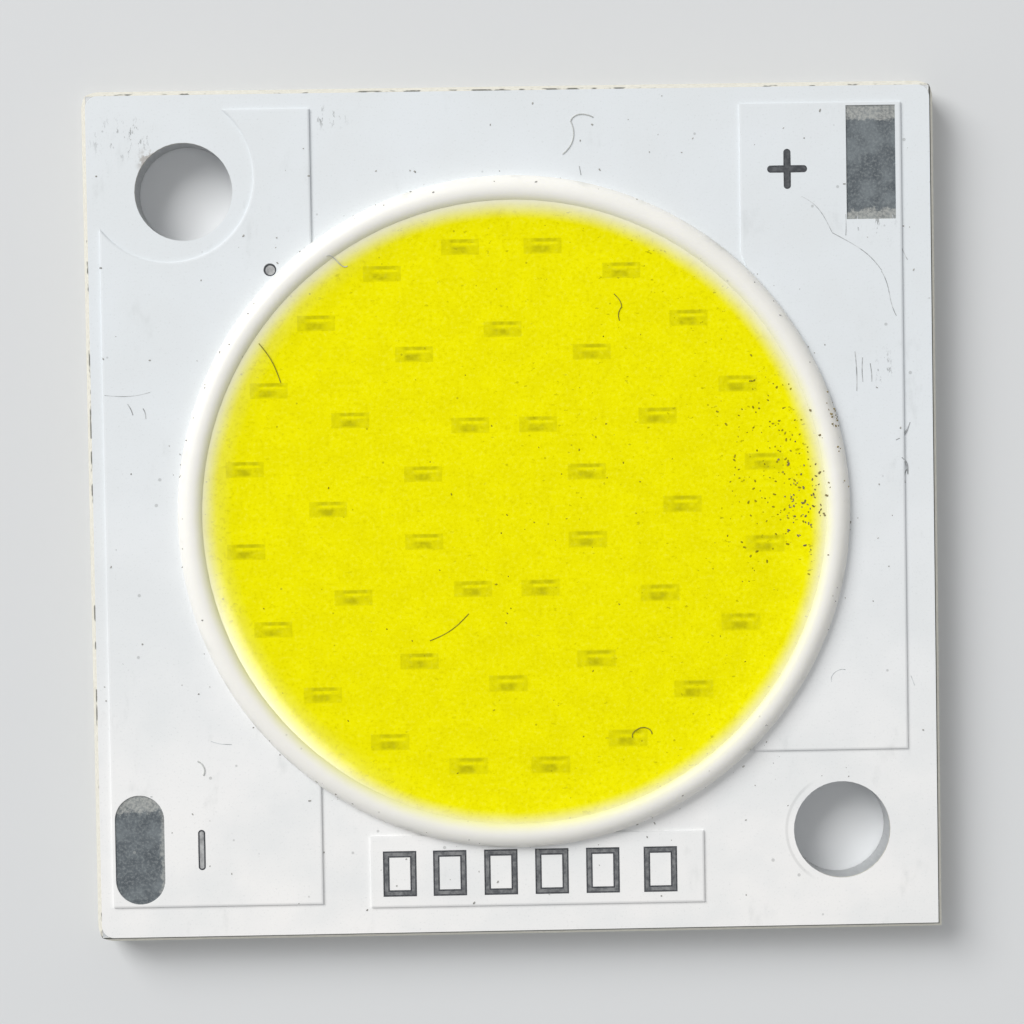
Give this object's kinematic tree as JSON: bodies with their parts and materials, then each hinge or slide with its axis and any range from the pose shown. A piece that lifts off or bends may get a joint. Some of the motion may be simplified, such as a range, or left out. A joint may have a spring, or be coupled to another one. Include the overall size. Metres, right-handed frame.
{
  "type": "chip-on-board led module",
  "caption": "Square aluminium light source with a round yellow phosphor window in a white silicone dam, two solder pads and two screw holes.",
  "frame": {"origin": "centre of the back face", "axes": "+Z out of the lit side, +X towards the plus pad's side edge, +Y towards the edge that both the plus pad and the minus side's screw hole are near"},
  "size_m": [0.028, 0.028, 0.002],
  "materials": {
    "base_plate": "rolled aluminium, mirror-polished inside the window, snapped edges",
    "dielectric_layer": "filled epoxy",
    "foil": "copper with dull grey tin on the bared pads",
    "solder_mask": "white satin solder mask",
    "dam_ring": "white satin silicone",
    "phosphor_fill": "glossy yellow silicone gel with phosphor",
    "die_attach": "clear silicone adhesive",
    "led_die": "sapphire chip with a thin light-emitting layer",
    "bond_wire": "drawn gold wire"
  },
  "bodies": {
    "root": {"base_plate": "base_plate", "dielectric_layer": "dielectric_layer", "minus_foil": "foil", "plus_foil": "foil", "label_foil": "foil", "solder_mask": "solder_mask", "dam_ring": "dam_ring", "phosphor_fill": "phosphor_fill", "die_attach": "die_attach", "led_die_01": "led_die", "led_die_02": "led_die", "led_die_03": "led_die", "led_die_04": "led_die", "led_die_05": "led_die", "led_die_06": "led_die", "led_die_07": "led_die", "led_die_08": "led_die", "led_die_09": "led_die", "led_die_10": "led_die", "led_die_11": "led_die", "led_die_12": "led_die", "led_die_13": "led_die", "led_die_14": "led_die", "led_die_15": "led_die", "led_die_16": "led_die", "led_die_17": "led_die", "led_die_18": "led_die", "led_die_19": "led_die", "led_die_20": "led_die", "led_die_21": "led_die", "led_die_22": "led_die", "led_die_23": "led_die", "led_die_24": "led_die", "led_die_25": "led_die", "led_die_26": "led_die", "led_die_27": "led_die", "led_die_28": "led_die", "led_die_29": "led_die", "led_die_30": "led_die", "led_die_31": "led_die", "led_die_32": "led_die", "led_die_33": "led_die", "led_die_34": "led_die", "led_die_35": "led_die", "led_die_36": "led_die", "led_die_37": "led_die", "led_die_38": "led_die", "led_die_39": "led_die", "led_die_40": "led_die", "bond_wires_1": "bond_wire", "bond_wires_2": "bond_wire", "bond_wires_3": "bond_wire", "bond_wires_4": "bond_wire"}
  },
  "joints": []
}
